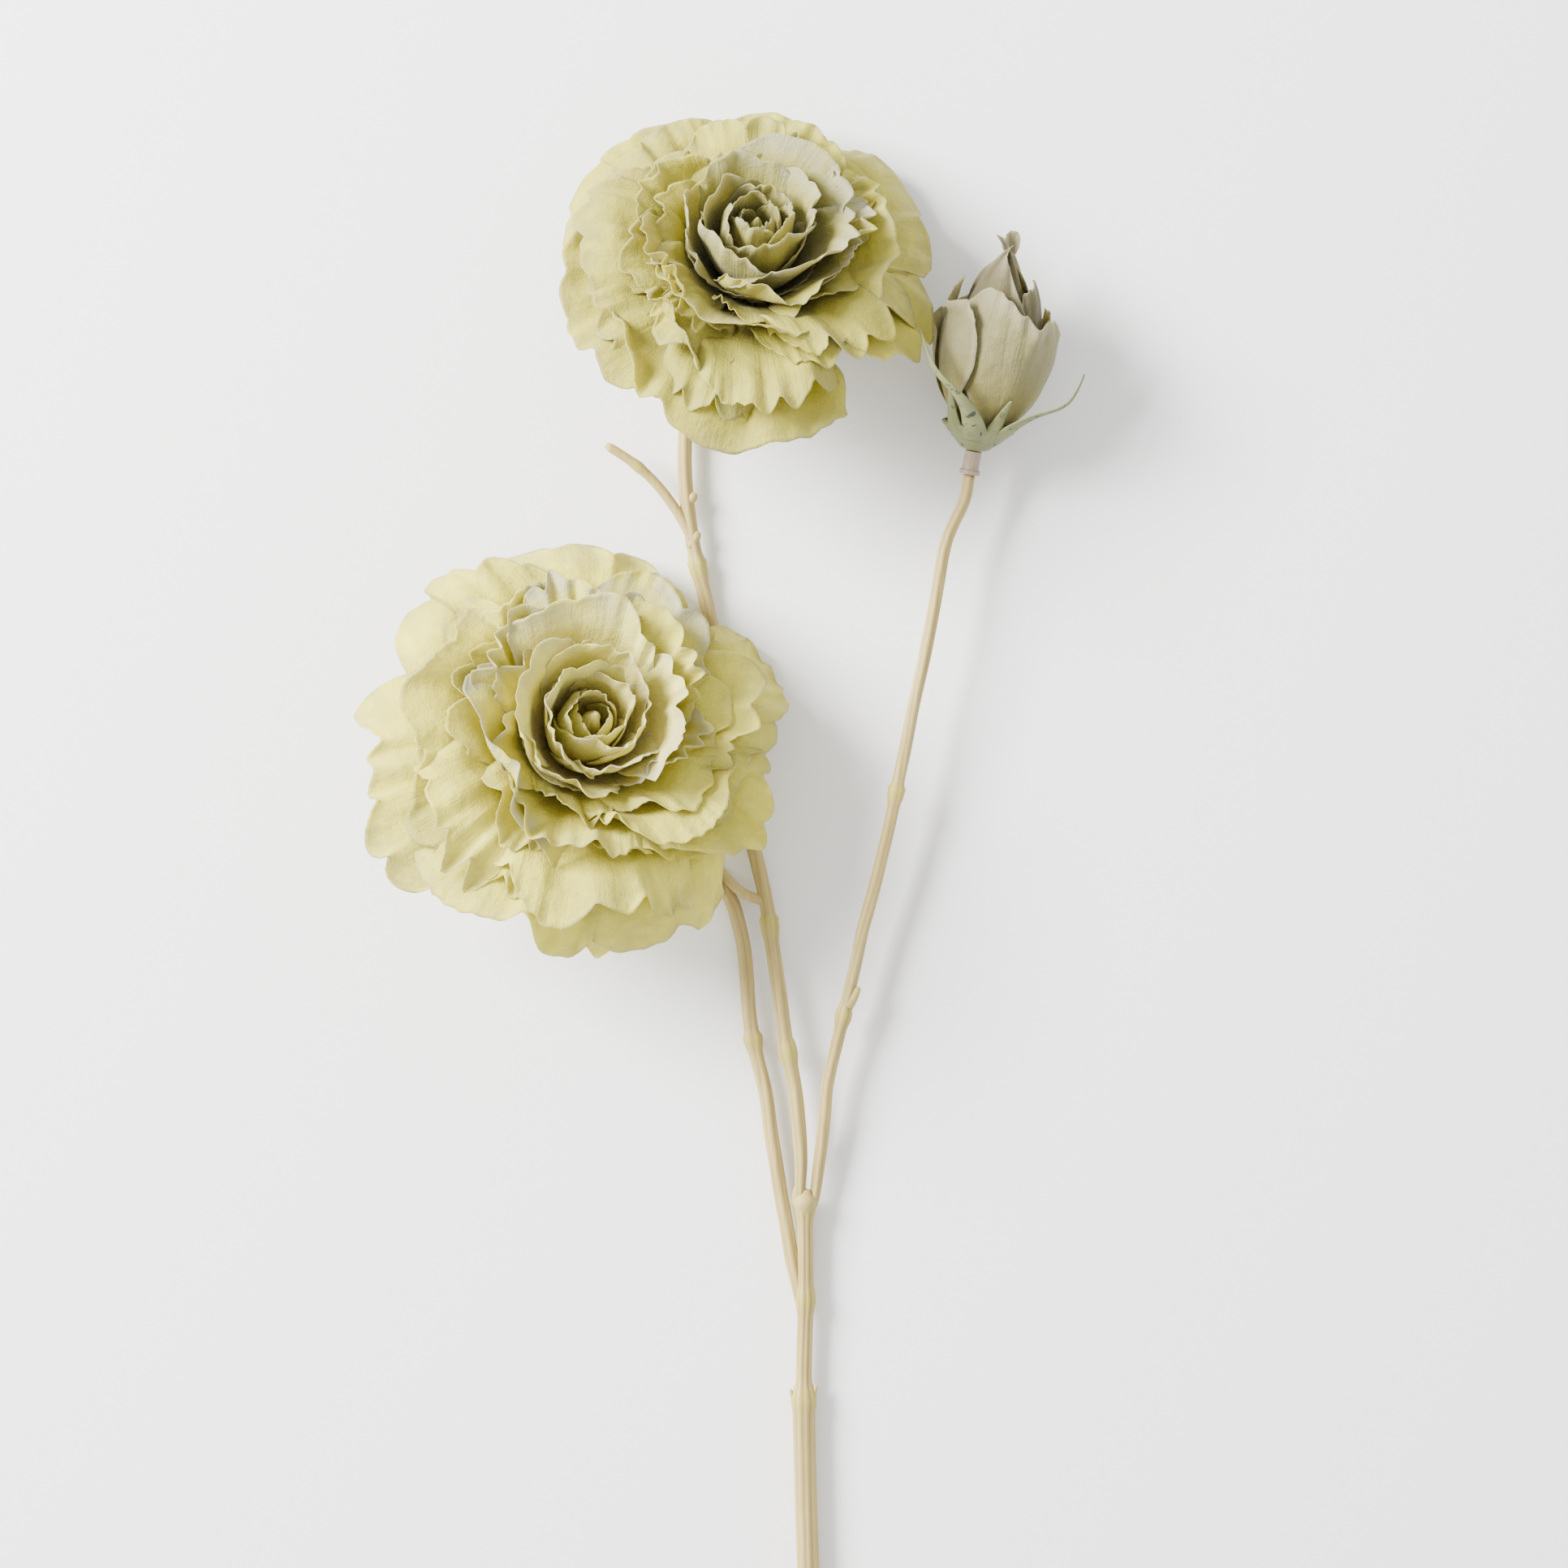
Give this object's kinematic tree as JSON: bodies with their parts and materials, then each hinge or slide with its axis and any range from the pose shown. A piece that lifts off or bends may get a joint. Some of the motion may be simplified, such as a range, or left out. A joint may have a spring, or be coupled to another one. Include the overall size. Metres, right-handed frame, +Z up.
{
  "type": "artificial cut lisianthus stem",
  "caption": "Artificial cut lisianthus laid flat: open ruffled pale yellow-green blooms and a bud on a forked, wired beige stem.",
  "frame": {"origin": "bottom centre of the spray's box, on the surface it lies on", "axes": "+Y along the stem from the cut end to the blooms, +Z up from the surface, +X towards the bud's side"},
  "size_m": [0.184, 0.5658, 0.0625],
  "materials": {
    "petal": "soft matt pale yellow-green cloth with a dry beige rim",
    "heart": "soft matt beige-olive cloth",
    "bud_petal": "soft matt grey-beige cloth",
    "calyx": "moulded sage plastic with dark specks",
    "receptacle": "moulded pale plastic",
    "sleeve": "thin pinkish plastic sleeve",
    "stem": "ribbed beige moulded plastic, mottled yellow-brown",
    "wire": "plain drawn steel wire"
  },
  "bodies": {
    "root": {"bloom_a_calyx": "calyx", "bloom_a_heart": "heart", "bloom_a_inner_petal_1": "petal", "bloom_a_inner_petal_2": "petal", "bloom_a_inner_petal_3": "petal", "bloom_a_inner_petal_4": "petal", "bloom_a_inner_petal_5": "petal", "bloom_a_inner_petal_6": "petal", "bloom_a_middle_petal_1": "petal", "bloom_a_middle_petal_2": "petal", "bloom_a_middle_petal_3": "petal", "bloom_a_middle_petal_4": "petal", "bloom_a_middle_petal_5": "petal", "bloom_a_middle_petal_6": "petal", "bloom_a_middle_petal_7": "petal", "bloom_a_outer_petal_1": "petal", "bloom_a_outer_petal_2": "petal", "bloom_a_outer_petal_3": "petal", "bloom_a_outer_petal_4": "petal", "bloom_a_outer_petal_5": "petal", "bloom_a_outer_petal_6": "petal", "bloom_a_outer_petal_7": "petal", "bloom_a_receptacle": "receptacle", "bloom_b_calyx": "calyx", "bloom_b_heart": "heart", "bloom_b_inner_petal_1": "petal", "bloom_b_inner_petal_2": "petal", "bloom_b_inner_petal_3": "petal", "bloom_b_inner_petal_4": "petal", "bloom_b_inner_petal_5": "petal", "bloom_b_inner_petal_6": "petal", "bloom_b_middle_petal_1": "petal", "bloom_b_middle_petal_2": "petal", "bloom_b_middle_petal_3": "petal", "bloom_b_middle_petal_4": "petal", "bloom_b_middle_petal_5": "petal", "bloom_b_middle_petal_6": "petal", "bloom_b_middle_petal_7": "petal", "bloom_b_outer_petal_1": "petal", "bloom_b_outer_petal_2": "petal", "bloom_b_outer_petal_3": "petal", "bloom_b_outer_petal_4": "petal", "bloom_b_outer_petal_5": "petal", "bloom_b_outer_petal_6": "petal", "bloom_b_outer_petal_7": "petal", "bloom_b_receptacle": "receptacle", "bud_calyx": "calyx", "bud_heart": "heart", "bud_petal_1": "bud_petal", "bud_petal_2": "bud_petal", "bud_petal_3": "bud_petal", "bud_petal_4": "bud_petal", "bud_sleeve": "sleeve", "stem_central": "stem", "stem_left": "stem", "stem_main": "stem", "stem_right": "stem", "wire_central": "wire", "wire_left": "wire", "wire_right": "wire"}
  },
  "joints": []
}
